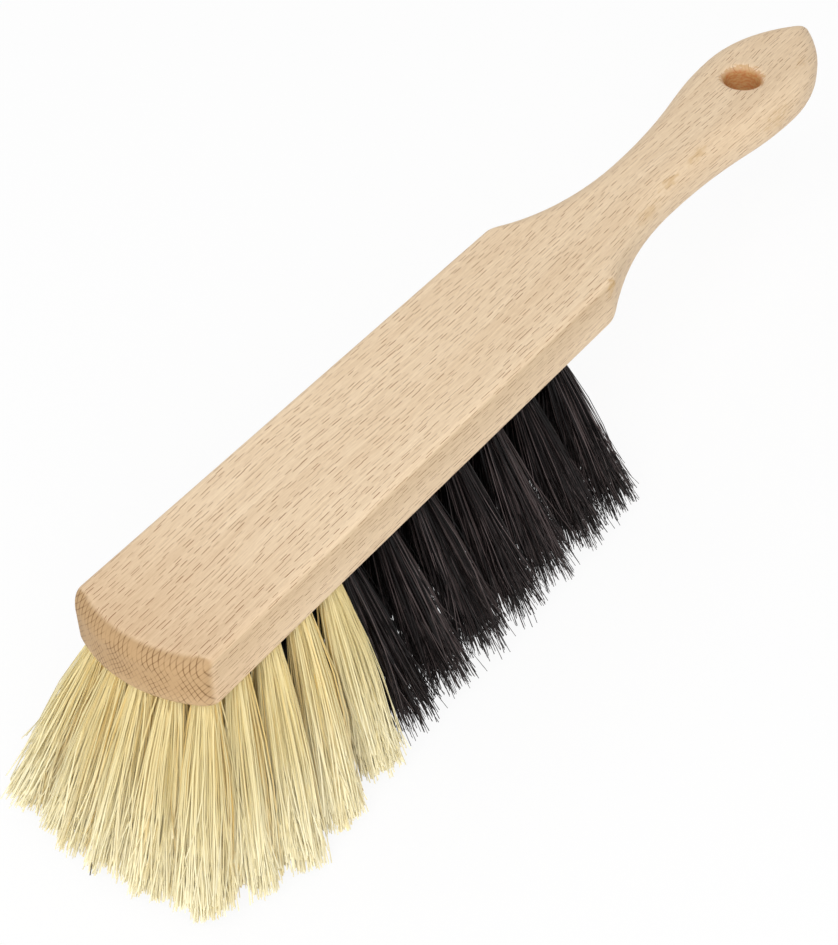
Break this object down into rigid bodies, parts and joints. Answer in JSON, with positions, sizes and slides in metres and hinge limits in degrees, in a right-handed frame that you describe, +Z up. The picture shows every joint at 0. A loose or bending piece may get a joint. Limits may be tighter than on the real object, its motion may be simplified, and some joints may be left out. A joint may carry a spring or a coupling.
{
  "type": "hand broom",
  "caption": "Short hand broom: a flat beech board with a waisted handle and hanging hole, set with fanned tufts of pale plant fibre at the front and black hair behind.",
  "frame": {"origin": "on the floor plane of the trimmed bristle tips, below the middle of the whole broom's length and width", "axes": "+X along the broom from the brush end to the handle's point, +Y to the left side, +Z up from the bristle tips to the board's top"},
  "size_m": [0.3124, 0.0825, 0.06],
  "materials": {
    "beech": "planed and sanded, untreated",
    "cream_bristle": "dull plant fibre",
    "black_bristle": "satin hair",
    "anchor_wire": "drawn flat wire"
  },
  "bodies": {
    "root": {"broom_body": "beech", "anchor_wires": "anchor_wire", "cream_front_tuft_1": "cream_bristle", "cream_front_tuft_2": "cream_bristle", "cream_front_tuft_3": "cream_bristle", "cream_front_tuft_4": "cream_bristle", "cream_front_tuft_5": "cream_bristle", "cream_second_tuft_1": "cream_bristle", "cream_second_tuft_2": "cream_bristle", "cream_side_tuft_left_1": "cream_bristle", "cream_side_tuft_left_2": "cream_bristle", "cream_side_tuft_left_3": "cream_bristle", "cream_side_tuft_left_4": "cream_bristle", "cream_side_tuft_right_1": "cream_bristle", "cream_side_tuft_right_2": "cream_bristle", "cream_side_tuft_right_3": "cream_bristle", "cream_side_tuft_right_4": "cream_bristle", "black_middle_tuft_1_1": "black_bristle", "black_middle_tuft_1_10": "black_bristle", "black_middle_tuft_1_2": "black_bristle", "black_middle_tuft_1_3": "black_bristle", "black_middle_tuft_1_4": "black_bristle", "black_middle_tuft_1_5": "black_bristle", "black_middle_tuft_1_6": "black_bristle", "black_middle_tuft_1_7": "black_bristle", "black_middle_tuft_1_8": "black_bristle", "black_middle_tuft_1_9": "black_bristle", "black_middle_tuft_2_1": "black_bristle", "black_middle_tuft_2_10": "black_bristle", "black_middle_tuft_2_2": "black_bristle", "black_middle_tuft_2_3": "black_bristle", "black_middle_tuft_2_4": "black_bristle", "black_middle_tuft_2_5": "black_bristle", "black_middle_tuft_2_6": "black_bristle", "black_middle_tuft_2_7": "black_bristle", "black_middle_tuft_2_8": "black_bristle", "black_middle_tuft_2_9": "black_bristle", "black_side_tuft_left_1": "black_bristle", "black_side_tuft_left_2": "black_bristle", "black_side_tuft_left_3": "black_bristle", "black_side_tuft_left_4": "black_bristle", "black_side_tuft_left_5": "black_bristle", "black_side_tuft_left_6": "black_bristle", "black_side_tuft_left_7": "black_bristle", "black_side_tuft_right_1": "black_bristle", "black_side_tuft_right_2": "black_bristle", "black_side_tuft_right_3": "black_bristle", "black_side_tuft_right_4": "black_bristle", "black_side_tuft_right_5": "black_bristle", "black_side_tuft_right_6": "black_bristle", "black_side_tuft_right_7": "black_bristle"}
  },
  "joints": []
}
